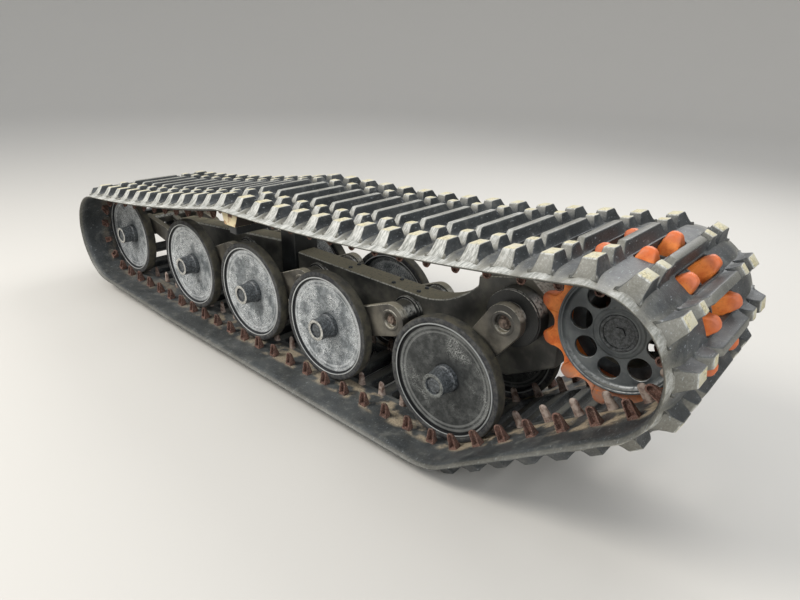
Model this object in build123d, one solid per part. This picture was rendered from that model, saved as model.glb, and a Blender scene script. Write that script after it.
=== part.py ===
from build123d import *
import os
from math import asin, atan2, cos, hypot, pi, radians, sin, sqrt

# Track unit of a tracked carrier, right-hand side. Millimetres.
# +X is forward, +Y is inboard, +Z is up. Z = 0 is the ground under the lugs,
# Y = 0 is the middle plane of the track, X = 0 is halfway along the track.

# Track band
track_width = 620.0
band_thickness = 20.0
lug_height = 30.0
cord_depth = 13.0              # from the band's inner face to its cords, which keep their length
link_count = 64
bar_foot = 40.0                # every lug's length along the track, at the band and at its crest
bar_crest = 28.0
bar_half_width = 108.0         # centre bars, which the windows lie between
bar_crest_half_width = 102.0
edge_lug_foot_start = 122.0    # edge lugs, outward from the middle plane to the track's edge
edge_lug_crest_start = 135.0
edge_lug_crest_end = 250.0

# Road wheels
tyre_radius = 186.0
tyre_clearance = 0.5           # between the tyres and the bent band
tyre_width = 38.0
tyre_bore_radius = 168.0
tyre_facets = 22               # straight sides that each tyre is drawn with
wheel_track = 312.0            # between the middles of the twin tyres
rim_wall = 8.0
rim_inset = 2.0
web_thickness = 6.0
web_rise = 10.0                # how far the disc is dished from its rim to its hub
hub_radius = 36.0
hub_reach = 37.0               # hub tube's end beyond the tyre's outer face
axle_radius = 24.0
axle_recess = 12.0
running_gap = 0.3
face_gap = 2.0

# Places along the track, measured forward from wheel 2
wheel_2_x = -594.0
idler_offset = -528.0
idler_lift = 15.0
wheel_3_offset = 419.0
wheel_4_offset = 832.0
wheel_5_offset = 1315.0
sprocket_offset = 1743.0
sprocket_lift = 272.0

# Top run of the track, which rests on the wear pads and sags on both sides of them
pad_offset = 508.0
pad_top_lift = 339.0
pad_crown_radius = 400.0
rear_sag = 16.0
front_sag = 24.0

# Sprocket
root_clearance = 2.0           # between the band's inner face and the rings' roots
tooth_count = 12
tooth_phase = 23.3             # one tooth's angle above forward
root_radius = 158.0
tip_radius = 203.0
tooth_width = 40.0
root_fillet = 6.0
ring_bore_radius = 132.0
ring_width = 46.0
ring_track = 160.0             # between the middles of the two toothed rings
drum_radius = 108.0
drum_wall = 8.0
drum_flange_radius = 146.0
drum_flange_width = 8.0
disc_radius = 143.5
disc_lip = 6.0
disc_lip_depth = 12.0
disc_web = 8.0
disc_web_radius = 126.0
disc_hole_count = 8
disc_hole_radius = 27.0
disc_hole_circle = 91.0
disc_hole_phase = 40.0
sprocket_hub_radius = 60.0
sprocket_hub_length = 24.0
cap_radius = 44.0
cap_recess = 4.0
cap_thickness = 10.0
cap_socket_radius = 20.0       # hexagonal socket, to its corners
cap_socket_depth = 6.0

# Final drive
case_radius = 104.0
case_start = 112.0             # inboard of the middle plane
case_end = 198.0
case_chamfer = 10.0
case_arm_gap = 2.0             # from the trailing arms' outer faces
case_arm_thickness = 33.0
case_foot_offset = 1405.0
case_foot_lift = 300.0
case_foot_radius = 40.0
sleeve_radius = 58.0
saddle_thickness = 22.0
saddle_start_margin = 24.0     # from the two ends of the beam's sloping top
saddle_end_margin = 10.0
input_setback = 45.0           # input shaft's distance behind the sprocket's axle
input_radius = 30.0
input_reach = 26.0
input_flange_radius = 60.0
input_flange_width = 12.0
input_bolt_circle = 94.0
input_bolt_radius = 5.5
input_bolt_count = 4

# Side beam
beam_width = 80.0
rear_beam_fillet = 12.0
front_beam_top = 157.0         # above the wheel axles
front_beam_bottom = 10.0
rear_beam_start = -300.0
rear_beam_end_top = 188.0
rear_beam_start_top = 112.0
rear_beam_start_bottom = 12.0
rear_beam_end_bottom = 40.0
beam_joint_offset = 506.0
dip_start_offset = 1116.0
dip_radius = 279.0
nose_start_offset = 1322.0
nose_start_top = 278.0
nose_end_offset = 1480.0
nose_end_top = 318.0
nose_tip_offset = 1579.0
nose_tip_top = 240.0
nose_tip_bottom = 89.0
nose_bottom_offset = 1437.0

# Trailing arms and torsion tubes
arm_reach = 249.0              # from a wheel's axle forward to its arm's pivot
arm_rise = 92.0
front_arm_reach = 148.0
front_arm_rise = 210.0
arm_thickness = 27.0
arm_web_inset = 4.0            # web's faces behind those of the boss and the eye
boss_radius = 52.0
boss_recess_radius = 24.0
boss_recess_depth = 12.0
arm_eye_radius = 42.0
tube_radius = 48.0
tube_flange_radius = 56.0
tube_flange_width = 8.0
arm_gap = 7.0                  # between a tyre's inner face and its arm

front_flange_radius = 80.0
front_flange_width = 40.0

# Clamp collar with the bracket for the vehicle's spring
collar_start = 466.0
collar_end = 546.0
collar_wall = 14.0
collar_top = 228.0
collar_bottom = -6.0
bracket_start = 476.0
bracket_end = 536.0
bracket_bottom = 188.0
plate_face = 242.0             # inboard of the middle plane
plate_thickness = 14.0
plate_half_length = 62.0
plate_top = 224.0
plate_bottom = 128.0
plate_hole_radius = 7.0
plate_hole_spacing_x = 88.0
plate_hole_spacing_z = 68.0

# Cross bar and wear pads
cross_bar_start = 482.0
cross_bar_end = 522.0
cross_bar_rise = 64.0          # of its top over the clamp collar
cross_bar_depth = 30.0
cross_bar_post_half_width = 60.0
pad_overhang = 10.0            # of each wear pad beyond the bar's end
pad_start = 458.0
pad_end = 552.0
pad_foot_start = 472.0
pad_foot_end = 532.0
pad_width = 65.0
pad_outer = 282.0

# Idler arms and tension rod
idler_pivot_offset = -262.0
idler_pivot_lift = 62.0
idler_pivot_radius = 34.0
idler_knee_offset = -425.0
idler_knee_lift = 92.0
idler_knee_radius = 30.0
idler_tube_radius = 22.0
rod_radius = 15.0

# Derived places
turn_radius = tyre_radius + tyre_clearance
axle_height = lug_height + band_thickness + turn_radius
idler_x = wheel_2_x + idler_offset
sprocket_x = wheel_2_x + sprocket_offset
sprocket_z = axle_height + sprocket_lift
wheel_outer_y = wheel_track / 2 + tyre_width / 2
wheel_inner_y = wheel_track / 2 - tyre_width / 2
arm_outer_y = wheel_inner_y - arm_gap
arm_inner_y = arm_outer_y - arm_thickness
case_arm_start = arm_outer_y + case_arm_gap
case_arm_end = case_arm_start + case_arm_thickness

# offset forward of wheel 2, height of the axle above the other axles
wheel_stations = [
    (idler_offset, idler_lift),
    (0.0, 0.0),
    (wheel_3_offset, 0.0),
    (wheel_4_offset, 0.0),
    (wheel_5_offset, 0.0),
]
# wheel's offset, pivot's distance ahead of the axle, pivot's height above the axle,
# radius and width of the ring beside the beam
arm_stations = [
    (0.0, arm_reach, arm_rise, tube_flange_radius, tube_flange_width),
    (wheel_3_offset, arm_reach, arm_rise, tube_flange_radius, tube_flange_width),
    (wheel_4_offset, arm_reach, arm_rise, tube_flange_radius, tube_flange_width),
    (wheel_5_offset, front_arm_reach, front_arm_rise, front_flange_radius, front_flange_width),
]


def place(offset, lift):
    return wheel_2_x + offset, axle_height + lift


def turned(profile, x, z, outward=-1):
    """A solid of revolution about the axle at (x, z). The profile's points are (radius, distance
    outward from the track's middle plane)."""
    points = [(r, outward * y) for r, y in profile]
    face = make_face(Polyline(points, close=True))
    solid = revolve(face, Axis.Y)
    return Pos(x, 0, z) * solid


def side_plate(face_xz, y_from, y_to):
    """A flat outline drawn in X and Z, as thick as the two Y places are apart."""
    plane = Plane(origin=(0, y_from, 0), x_dir=(1, 0, 0), z_dir=(0, -1, 0))
    return extrude(plane * face_xz, amount=y_from - y_to)


def round_bar(x, z, radius, y_from, y_to):
    return side_plate(Pos(x, z) * Circle(radius), y_from, y_to)


def sag_circle(before, after, depth):
    """The circle of a stretch that hangs between two others and touches both. It curves away from
    the loop's inside, so its radius is negative."""
    xa, za, ra = before
    xb, zb, rb = after
    reach = hypot(xb - xa, zb - za)
    radius = reach ** 2 / (8 * depth)
    along = (reach ** 2 + (radius + ra) ** 2 - (radius + rb) ** 2) / (2 * reach)
    height = sqrt((radius + ra) ** 2 - along ** 2)
    ahead_x, ahead_z = (xb - xa) / reach, (zb - za) / reach
    return xa + along * ahead_x + height * ahead_z, za + along * ahead_z - height * ahead_x, -radius


# The track's path: circles that it passes round in order, each with its centre and radius.
def path_circles():
    idler = (*place(idler_offset, idler_lift), turn_radius)
    rear_wheel = (*place(0, 0), turn_radius)
    front_wheel = (*place(wheel_5_offset, 0), turn_radius)
    sprocket = (sprocket_x, sprocket_z, root_radius + root_clearance)
    pad = (*place(pad_offset, pad_top_lift - pad_crown_radius), pad_crown_radius)
    front_hang = sag_circle(sprocket, pad, front_sag)
    rear_hang = sag_circle(pad, idler, rear_sag)
    return [idler, rear_wheel, front_wheel, sprocket, front_hang, pad, rear_hang]


def path_pieces(offset):
    """Straight and round pieces of the path at a distance outside the band's inner face, as
    (start, end, centre, signed radius, start heading, turn). A straight piece has no centre."""
    circles = path_circles()
    count = len(circles)
    headings = []
    for i in range(count):
        xa, za, ra = circles[i]
        xb, zb, rb = circles[(i + 1) % count]
        reach = hypot(xb - xa, zb - za)
        heading = atan2(zb - za, xb - xa) - asin(max(-1, min(1, (rb - ra) / reach)))
        headings.append(heading % (2 * pi))
    pieces = []
    for i in range(count):
        x, z, r = circles[i]
        radius = r + offset
        arriving, leaving = headings[i - 1], headings[i]
        turn = (leaving - arriving + pi) % (2 * pi) - pi
        if r > 0 and turn < 0:
            turn += 2 * pi
        start = (x + radius * sin(arriving), z - radius * cos(arriving))
        end = (x + radius * sin(leaving), z - radius * cos(leaving))
        pieces.append((start, end, (x, z), radius, arriving, turn))
        xn, zn, rn = circles[(i + 1) % count]
        far = (xn + (rn + offset) * sin(leaving), zn - (rn + offset) * cos(leaving))
        pieces.append((end, far, None, 0.0, leaving, 0.0))
    return pieces


def piece_length(piece):
    start, end, centre, radius, heading, turn = piece
    if centre is None:
        return hypot(end[0] - start[0], end[1] - start[1])
    return radius * turn


def path_place(pieces, distance):
    """Place and heading of the band's inner face, at a distance along its cords."""
    for piece in pieces:
        if distance < piece_length(piece):
            break
        distance -= piece_length(piece)
    start, end, centre, radius, heading, turn = piece
    if centre is None:
        x, z = start[0] + distance * cos(heading), start[1] + distance * sin(heading)
    else:
        heading += distance / radius
        x, z = centre[0] + radius * sin(heading), centre[1] - radius * cos(heading)
    return x - cord_depth * sin(heading), z + cord_depth * cos(heading), heading


def find_links():
    """Each link's place on the band's inner face and its heading. On the sprocket the links lie
    midway between the teeth."""
    pieces = path_pieces(cord_depth)
    lengths = [piece_length(piece) for piece in pieces]
    centres = [centre for start, end, centre, radius, heading, turn in pieces]
    wrap = centres.index((sprocket_x, sprocket_z))
    start, end, centre, radius, arriving, turn = pieces[wrap]
    gap_heading = radians(tooth_phase + 180 / tooth_count) + pi / 2
    first = sum(lengths[:wrap]) + radius * ((gap_heading - arriving) % (2 * pi))
    pitch = sum(lengths) / link_count
    return [path_place(pieces, (first + i * pitch) % sum(lengths)) for i in range(link_count)]


links = find_links()


def link_point(link, along, out):
    x, z, heading = link
    return x + along * cos(heading) + out * sin(heading), z + along * sin(heading) - out * cos(heading)


def band_face(out):
    """The loop's outline at a distance outside the band's inner face. The band is stiff at each
    bar and bends on both sides of it."""
    ends = (-bar_foot / 2, bar_foot / 2)
    points = [link_point(link, along, out) for link in links for along in ends]
    return make_face(Polyline(points, close=True))


def window(link, next_link):
    """The opening between two bars, where a tooth of each sprocket ring comes through."""
    corners = [
        link_point(link, bar_foot / 2, -band_thickness),
        link_point(link, bar_foot / 2, 2 * band_thickness),
        link_point(next_link, -bar_foot / 2, 2 * band_thickness),
        link_point(next_link, -bar_foot / 2, -band_thickness),
    ]
    return side_plate(make_face(Polyline(corners, close=True)), -bar_half_width, bar_half_width)


def lug(foot_start, foot_end, crest_start, crest_end):
    """A lug that tapers from the band to its crest, between places across the track. It is drawn
    lying flat, and each link lays a copy on the band."""
    foot, crest = bar_foot / 2, bar_crest / 2
    run = Polyline((-foot, 0), (foot, 0), (crest, lug_height), (-crest, lug_height), close=True)
    width = Polyline(
        (-foot_start, 0), (-foot_end, 0), (-crest_end, lug_height), (-crest_start, lug_height), close=True
    )
    ridge = extrude(Plane.XZ * make_face(run), track_width, both=True)
    return ridge & extrude(Plane.YZ * make_face(width), bar_foot, both=True)


def on_link(link, shape):
    x, z, heading = link
    base = Plane(
        origin=(x, 0, z),
        x_dir=(cos(heading), 0, sin(heading)),
        z_dir=(sin(heading), 0, -cos(heading)),
    )
    return base.offset(band_thickness).location * shape


def track_band():
    half = track_width / 2
    solid = side_plate(band_face(band_thickness) - band_face(0), -half, half)
    solid -= [window(link, next_link) for link, next_link in zip(links, links[1:] + links[:1])]
    shapes = [lug(-bar_half_width, bar_half_width, -bar_crest_half_width, bar_crest_half_width)]
    for side in (-1, 1):
        foot = (side * edge_lug_foot_start, side * half)
        crest = (side * edge_lug_crest_start, side * edge_lug_crest_end)
        shapes.append(lug(*foot, *crest))
    lugs = [on_link(link, shape) for link in links for shape in shapes]
    return solid + lugs


def tyre(x, z, outward):
    outline = RegularPolygon(tyre_radius, tyre_facets, rotation=90)
    outline -= RegularPolygon(tyre_bore_radius, tyre_facets, major_radius=False, rotation=90)
    return side_plate(Pos(x, z) * outline, outward * wheel_inner_y, outward * wheel_outer_y)


def wheel_disc(x, z, outward):
    rim_radius = tyre_bore_radius
    rim_inner = rim_radius - rim_wall
    face_y = wheel_outer_y - rim_inset
    web_y = face_y - rim_wall
    hub_y = web_y - web_rise
    profile = [
        (axle_radius + running_gap, wheel_outer_y + hub_reach),
        (hub_radius, wheel_outer_y + hub_reach),
        (hub_radius, hub_y),
        (rim_inner, web_y),
        (rim_inner, face_y),
        (rim_radius, face_y),
        (rim_radius, wheel_inner_y + rim_inset),
        (rim_inner, wheel_inner_y + rim_inset),
        (rim_inner, web_y - web_thickness),
        (hub_radius, hub_y - web_thickness),
        (hub_radius, arm_outer_y + face_gap),
        (axle_radius + running_gap, arm_outer_y + face_gap),
    ]
    return turned(profile, x, z, outward)


def stub_axle(x, z, outward):
    end_y = wheel_outer_y + hub_reach - axle_recess
    return round_bar(x, z, axle_radius, outward * arm_outer_y, outward * end_y)


def link_face(xa, za, ra, xb, zb, rb):
    """A flat link's outline: two round ends and the straight edges that touch them."""
    length = hypot(xb - xa, zb - za)
    heading = atan2(zb - za, xb - xa)
    spread = pi / 2 + asin((rb - ra) / length)
    up, down = heading + spread, heading - spread
    a_up = (xa + ra * cos(up), za + ra * sin(up))
    b_up = (xb + rb * cos(up), zb + rb * sin(up))
    b_down = (xb + rb * cos(down), zb + rb * sin(down))
    a_down = (xa + ra * cos(down), za + ra * sin(down))
    b_tip = (xb + rb * cos(heading), zb + rb * sin(heading))
    a_tip = (xa - ra * cos(heading), za - ra * sin(heading))
    return make_face([
        Line(a_up, b_up),
        ThreePointArc(b_up, b_tip, b_down),
        Line(b_down, a_down),
        ThreePointArc(a_down, a_tip, a_up),
    ])


def trailing_arm(station, outward):
    offset, reach, rise, ring_radius, ring_width = station
    x, z = place(offset, 0)
    xp, zp = x + reach, z + rise
    near, far = outward * arm_inner_y, outward * arm_outer_y
    inset = outward * arm_web_inset
    outline = link_face(x, z, arm_eye_radius, xp, zp, boss_radius)
    arm = side_plate(outline, near + inset, far - inset)
    arm += round_bar(x, z, arm_eye_radius, near, far)
    arm += round_bar(xp, zp, boss_radius, near, far)
    return arm - round_bar(xp, zp, boss_recess_radius, far - outward * boss_recess_depth, far + outward)


def torsion_tube(station):
    offset, reach, rise, ring_radius, ring_width = station
    x, z = place(offset, 0)
    xp, zp = x + reach, z + rise
    near = beam_width / 2 + running_gap
    bar = round_bar(xp, zp, tube_radius, -arm_inner_y, arm_inner_y)
    for outward in (-1, 1):
        bar += round_bar(xp, zp, ring_radius, outward * near, outward * (near + ring_width))
    return bar


def cross_bores():
    bores = []
    for offset, reach, rise, ring_radius, ring_width in arm_stations:
        x, z = place(offset, 0)
        bores.append(round_bar(x + reach, z + rise, tube_radius + running_gap, -beam_width, beam_width))
    x, z = place(idler_pivot_offset, idler_pivot_lift)
    bores.append(round_bar(x, z, idler_tube_radius + running_gap, -beam_width, beam_width))
    return bores


def rear_beam_outline():
    corners = [
        place(rear_beam_start, rear_beam_start_bottom),
        place(beam_joint_offset, rear_beam_end_bottom),
        place(beam_joint_offset, rear_beam_end_top),
        place(rear_beam_start, rear_beam_start_top),
    ]
    return make_face(Polyline(corners, close=True))


def front_beam_outline():
    dip_end = asin((nose_start_offset - dip_start_offset) / dip_radius)
    dip_end_lift = front_beam_top + dip_radius * (1 - cos(dip_end))
    dip_middle_offset = dip_start_offset + dip_radius * sin(dip_end / 2)
    dip_middle_lift = front_beam_top + dip_radius * (1 - cos(dip_end / 2))
    corners = [
        (dip_start_offset, front_beam_top),
        (beam_joint_offset, front_beam_top),
        (beam_joint_offset, front_beam_bottom),
        (nose_bottom_offset, front_beam_bottom),
        (nose_tip_offset, nose_tip_bottom),
        (nose_tip_offset, nose_tip_top),
        (nose_end_offset, nose_end_top),
        (nose_start_offset, nose_start_top),
        (nose_start_offset, dip_end_lift),
    ]
    points = [place(offset, lift) for offset, lift in corners]
    dip = ThreePointArc(points[-1], place(dip_middle_offset, dip_middle_lift), points[0])
    return make_face([Polyline(points), dip])


def rear_beam():
    solid = side_plate(rear_beam_outline(), -beam_width / 2, beam_width / 2)
    long_edges = [edge for edge in solid.edges() if edge.length > 2 * beam_width]
    return fillet(long_edges, rear_beam_fillet) - cross_bores()


def front_beam():
    return side_plate(front_beam_outline(), -beam_width / 2, beam_width / 2) - cross_bores()


def block(start, end, bottom, top, y_from, y_to):
    """A box between two offsets and two lifts, and between two places across the track."""
    x_from, z_from = place(start, bottom)
    x_to, z_to = place(end, top)
    middle = ((x_from + x_to) / 2, (y_from + y_to) / 2, (z_from + z_to) / 2)
    return Pos(*middle) * Box(x_to - x_from, y_to - y_from, z_to - z_from)


def clamp_collar():
    reach = beam_width / 2 + collar_wall
    solid = block(collar_start, collar_end, collar_bottom, collar_top, -reach, reach)
    bracket_face = plate_face - plate_thickness / 2
    solid += block(bracket_start, bracket_end, bracket_bottom, collar_top, 0, bracket_face)
    middle = (collar_start + collar_end) / 2
    plate_start = middle - plate_half_length
    plate_end = middle + plate_half_length
    plate_back = plate_face - plate_thickness
    solid += block(plate_start, plate_end, plate_bottom, plate_top, plate_back, plate_face)
    x, z = place(middle, (plate_top + plate_bottom) / 2)
    for side_x in (-1, 1):
        for side_z in (-1, 1):
            hole_x = x + side_x * plate_hole_spacing_x / 2
            hole_z = z + side_z * plate_hole_spacing_z / 2
            solid -= round_bar(hole_x, hole_z, plate_hole_radius, plate_back - 1, plate_face + 1)
    for outline in (rear_beam_outline(), front_beam_outline()):
        solid -= side_plate(outline, -beam_width / 2, beam_width / 2)
    return solid


def cross_bar():
    """A bar across the unit, held clear of the track's guides by a post on the clamp collar."""
    top = collar_top + cross_bar_rise
    underside = top - cross_bar_depth
    half = pad_outer - pad_overhang
    post = cross_bar_post_half_width
    bar = block(cross_bar_start, cross_bar_end, underside, top, -half, half)
    return bar + block(cross_bar_start, cross_bar_end, collar_top, underside, -post, post)


def wear_pad(outward):
    foot = collar_top + cross_bar_rise
    corners = [
        place(pad_foot_start, foot),
        place(pad_foot_end, foot),
        place(pad_end, pad_top_lift + band_thickness),
        place(pad_start, pad_top_lift + band_thickness),
    ]
    outline = make_face(Polyline(corners, close=True)) & band_face(0)
    return side_plate(outline, outward * (pad_outer - pad_width), outward * pad_outer)


def idler_arm(outward):
    xi, zi = place(idler_offset, idler_lift)
    xk, zk = place(idler_knee_offset, idler_knee_lift)
    xp, zp = place(idler_pivot_offset, idler_pivot_lift)
    outline = link_face(xi, zi, arm_eye_radius, xk, zk, idler_knee_radius)
    outline += link_face(xk, zk, idler_knee_radius, xp, zp, idler_pivot_radius)
    return side_plate(outline, outward * arm_inner_y, outward * arm_outer_y)


def idler_tube(offset, lift):
    return round_bar(*place(offset, lift), idler_tube_radius, -arm_inner_y, arm_inner_y)


def tension_rod():
    xk, zk = place(idler_knee_offset, idler_knee_lift)
    xe, ze = place(rear_beam_start, (rear_beam_start_top + rear_beam_start_bottom) / 2)
    run = Vector(xe - xk, 0, ze - zk)
    bar = extrude(Plane(origin=(xk, 0, zk), z_dir=run) * Circle(rod_radius), amount=run.length * 1.2)
    bar = bar - side_plate(rear_beam_outline(), -beam_width, beam_width)
    return bar - idler_tube(idler_knee_offset, idler_knee_lift)


def tooth_edges(angle):
    """One tooth's edge from root to root, with half of a half-round nose on each side of its tip,
    and the root after it."""
    half = tooth_width / 2
    lean = asin((half + root_fillet) / (root_radius + root_fillet))
    foot = sqrt((root_radius + root_fillet) ** 2 - (half + root_fillet) ** 2)
    blend = lean / 2 + 5 * pi / 4
    blend_point = (foot + root_fillet * cos(blend), half + root_fillet * (1 + sin(blend)))
    root_point = (root_radius * cos(lean), root_radius * sin(lean))
    gap = pi / tooth_count
    next_lean = 2 * gap - lean
    corners = {
        "root": (root_point[0], -root_point[1]),
        "blend": (blend_point[0], -blend_point[1]),
        "foot": (foot, -half),
        "shoulder": (tip_radius - half, -half),
        "tip": (tip_radius, 0),
        "far_shoulder": (tip_radius - half, half),
        "far_foot": (foot, half),
        "far_blend": blend_point,
        "far_root": root_point,
        "gap": (root_radius * cos(gap), root_radius * sin(gap)),
        "next_root": (root_radius * cos(next_lean), root_radius * sin(next_lean)),
    }
    at = {}
    for name, (along, across) in corners.items():
        at[name] = (along * cos(angle) - across * sin(angle), along * sin(angle) + across * cos(angle))
    return [
        ThreePointArc(at["root"], at["blend"], at["foot"]),
        Line(at["foot"], at["shoulder"]),
        ThreePointArc(at["shoulder"], at["tip"], at["far_shoulder"]),
        Line(at["far_shoulder"], at["far_foot"]),
        ThreePointArc(at["far_foot"], at["far_blend"], at["far_root"]),
        ThreePointArc(at["far_root"], at["gap"], at["next_root"]),
    ]


def sprocket_ring(outward):
    """A toothed ring whose teeth have straight flanks, half-round noses and rounded roots."""
    edges = []
    for i in range(tooth_count):
        edges += tooth_edges(radians(tooth_phase + i * 360 / tooth_count))
    outline = make_face(edges) - Circle(ring_bore_radius)
    middle = outward * ring_track / 2
    half = outward * ring_width / 2
    return side_plate(Pos(sprocket_x, sprocket_z) * outline, middle - half, middle + half)


def sprocket_drum():
    end = (ring_track - ring_width) / 2
    inner = drum_radius - drum_wall
    profile = [
        (inner, -end),
        (drum_flange_radius, -end),
        (drum_flange_radius, drum_flange_width - end),
        (drum_radius, drum_flange_width - end),
        (drum_radius, end - drum_flange_width),
        (drum_flange_radius, end - drum_flange_width),
        (drum_flange_radius, end),
        (inner, end),
    ]
    return turned(profile, sprocket_x, sprocket_z)


def sprocket_disc():
    ring_face = (ring_track + ring_width) / 2
    web_face = ring_face + 1
    seat = ring_bore_radius - running_gap
    profile = [
        (sprocket_hub_radius, web_face - disc_web),
        (seat, web_face - disc_web),
        (seat, ring_face),
        (disc_radius, ring_face),
        (disc_radius, ring_face + disc_lip_depth),
        (disc_radius - disc_lip, ring_face + disc_lip_depth),
        (disc_web_radius, web_face),
        (sprocket_hub_radius, web_face),
    ]
    solid = turned(profile, sprocket_x, sprocket_z)
    for i in range(disc_hole_count):
        angle = radians(disc_hole_phase + i * 360 / disc_hole_count)
        x = sprocket_x + disc_hole_circle * cos(angle)
        z = sprocket_z + disc_hole_circle * sin(angle)
        solid -= round_bar(x, z, disc_hole_radius, -ring_face - disc_lip_depth, disc_web - ring_face)
    return solid


def sprocket_hub():
    face = (ring_track + ring_width) / 2 + cap_recess
    x, z = sprocket_x, sprocket_z
    solid = round_bar(x, z, sprocket_hub_radius, -face, sprocket_hub_length - face)
    return solid - round_bar(x, z, cap_radius, -face - 1, cap_thickness - face)


def hub_cap():
    face = (ring_track + ring_width) / 2 + cap_recess
    outline = Pos(sprocket_x, sprocket_z) * RegularPolygon(cap_socket_radius, 6)
    solid = round_bar(sprocket_x, sprocket_z, cap_radius, -face, cap_thickness - face)
    return solid - side_plate(outline, -face - 1, cap_socket_depth - face)


def final_drive_case():
    x, z = sprocket_x, sprocket_z
    hub_back = sprocket_hub_length - (ring_track + ring_width) / 2 - cap_recess
    xf, zf = place(case_foot_offset, case_foot_lift)
    arm_outline = link_face(xf, zf, case_foot_radius, x, z, case_radius)
    profile = [
        (0, hub_back + running_gap),
        (sleeve_radius, hub_back + running_gap),
        (sleeve_radius, case_start),
        (case_radius, case_start),
        (case_radius, case_end - case_chamfer),
        (case_radius - case_chamfer, case_end),
        (0, case_end),
    ]
    solid = turned(profile, x, z, 1) + side_plate(arm_outline, case_arm_start, case_arm_end)
    slope = (nose_end_top - nose_start_top) / (nose_end_offset - nose_start_offset)
    start = nose_start_offset + saddle_start_margin
    end = nose_end_offset - saddle_end_margin
    start_top = nose_start_top + slope * saddle_start_margin
    end_top = nose_end_top - slope * saddle_end_margin
    corners = [
        place(start, start_top),
        place(end, end_top),
        place(end, end_top + saddle_thickness),
        place(start, start_top + saddle_thickness),
    ]
    saddle = make_face(Polyline(corners, close=True))
    return solid + side_plate(saddle, -beam_width / 2, case_arm_end)


def input_flange():
    x = sprocket_x - input_setback
    z = sprocket_z
    flange_back = case_end + input_reach
    face = flange_back + input_flange_width
    solid = round_bar(x, z, input_radius, case_end, face)
    solid += round_bar(x, z, input_flange_radius, flange_back, face)
    for i in range(input_bolt_count):
        angle = radians(45 + i * 360 / input_bolt_count)
        hole_x = x + input_bolt_circle / 2 * cos(angle)
        hole_z = z + input_bolt_circle / 2 * sin(angle)
        solid -= round_bar(hole_x, hole_z, input_bolt_radius, flange_back - 1, face + 1)
    return solid


nodes = {
    "track_band": [track_band()],
    "torsion_tubes": [torsion_tube(station) for station in arm_stations],
    "side_beam_rear": [rear_beam()],
    "side_beam_front": [front_beam()],
    "clamp_collar": [clamp_collar()],
    "cross_bar": [cross_bar()],
    "wear_pads": [wear_pad(-1), wear_pad(1)],
    "idler_arms": [idler_arm(-1), idler_arm(1)],
    "idler_pivot_tube": [idler_tube(idler_pivot_offset, idler_pivot_lift)],
    "idler_cross_tube": [idler_tube(idler_knee_offset, idler_knee_lift)],
    "tension_rod": [tension_rod()],
    "sprocket_ring_outboard": [sprocket_ring(-1)],
    "sprocket_ring_inboard": [sprocket_ring(1)],
    "sprocket_drum": [sprocket_drum()],
    "sprocket_disc": [sprocket_disc()],
    "sprocket_hub": [sprocket_hub()],
    "hub_cap": [hub_cap()],
    "final_drive_case": [final_drive_case()],
    "input_flange": [input_flange()],
}
for side, outward in (("outboard", -1), ("inboard", 1)):
    places = [place(offset, lift) for offset, lift in wheel_stations]
    nodes["tyres_" + side] = [tyre(x, z, outward) for x, z in places]
    nodes["wheel_discs_" + side] = [wheel_disc(x, z, outward) for x, z in places]
    nodes["stub_axles_" + side] = [stub_axle(x, z, outward) for x, z in places]
    nodes["trailing_arms_" + side] = [trailing_arm(station, outward) for station in arm_stations]

os.makedirs("parts", exist_ok=True)
for name, solids in nodes.items():
    shape = solids[0] if len(solids) == 1 else Compound(children=solids)
    export_step(shape, "parts/" + name + ".step")
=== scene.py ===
from bisect import bisect_right
from math import asin, atan2, cos, hypot, pi, radians, sin, sqrt
import bpy
import bmesh
from mathutils import Matrix, Vector


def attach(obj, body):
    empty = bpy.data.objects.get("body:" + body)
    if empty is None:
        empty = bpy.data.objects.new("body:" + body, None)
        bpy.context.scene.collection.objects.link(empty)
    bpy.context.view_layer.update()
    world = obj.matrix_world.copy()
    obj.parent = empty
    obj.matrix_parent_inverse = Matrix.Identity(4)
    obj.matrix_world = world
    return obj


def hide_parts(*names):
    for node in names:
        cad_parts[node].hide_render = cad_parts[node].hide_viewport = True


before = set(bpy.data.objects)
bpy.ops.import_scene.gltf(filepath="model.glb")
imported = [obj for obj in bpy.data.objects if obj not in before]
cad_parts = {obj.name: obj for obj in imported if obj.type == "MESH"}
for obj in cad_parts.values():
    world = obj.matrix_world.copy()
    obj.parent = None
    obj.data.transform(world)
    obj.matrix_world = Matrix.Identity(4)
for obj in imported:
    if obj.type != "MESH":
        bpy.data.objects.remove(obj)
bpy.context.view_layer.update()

# Sizes are in millimetres and are turned to metres as each mesh is finished, apart from the studio's.
# x is forward, y is inboard and z is up, as in the solids.

# Studio: a matt pale floor that curves up to a backdrop, three soft lamps, and the camera, whose place and
# turn were solved from the ellipses of the wheels. Its lengths are in metres.
CAMERA_PLACE = (1.5493, -1.3034, 1.0776)
yaw, pitch, roll = radians(-41.135), radians(23.314), radians(1.544)
camera_data = bpy.data.cameras.new("camera")
camera_data.lens = 26.317
camera_data.sensor_width = 36.0
camera = bpy.data.objects.new("camera", camera_data)
bpy.context.scene.collection.objects.link(camera)
ahead = Vector((sin(yaw) * cos(pitch), cos(yaw) * cos(pitch), -sin(pitch)))
right = Vector((cos(yaw), -sin(yaw), 0))
up = right.cross(ahead)
across = cos(roll) * right + sin(roll) * up
upright = cos(roll) * up - sin(roll) * right
turn = Matrix((across, upright, -ahead)).transposed().to_4x4()
camera.matrix_world = Matrix.Translation(CAMERA_PLACE) @ turn
bpy.context.scene.camera = camera
bpy.context.scene.view_settings.view_transform = "Standard"

world = bpy.data.worlds.new("studio")
world.use_nodes = True
world.node_tree.nodes["Background"].inputs[0].default_value = (0.92, 0.95, 1.0, 1.0)
world.node_tree.nodes["Background"].inputs[1].default_value = 0.95
bpy.context.scene.world = world
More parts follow.
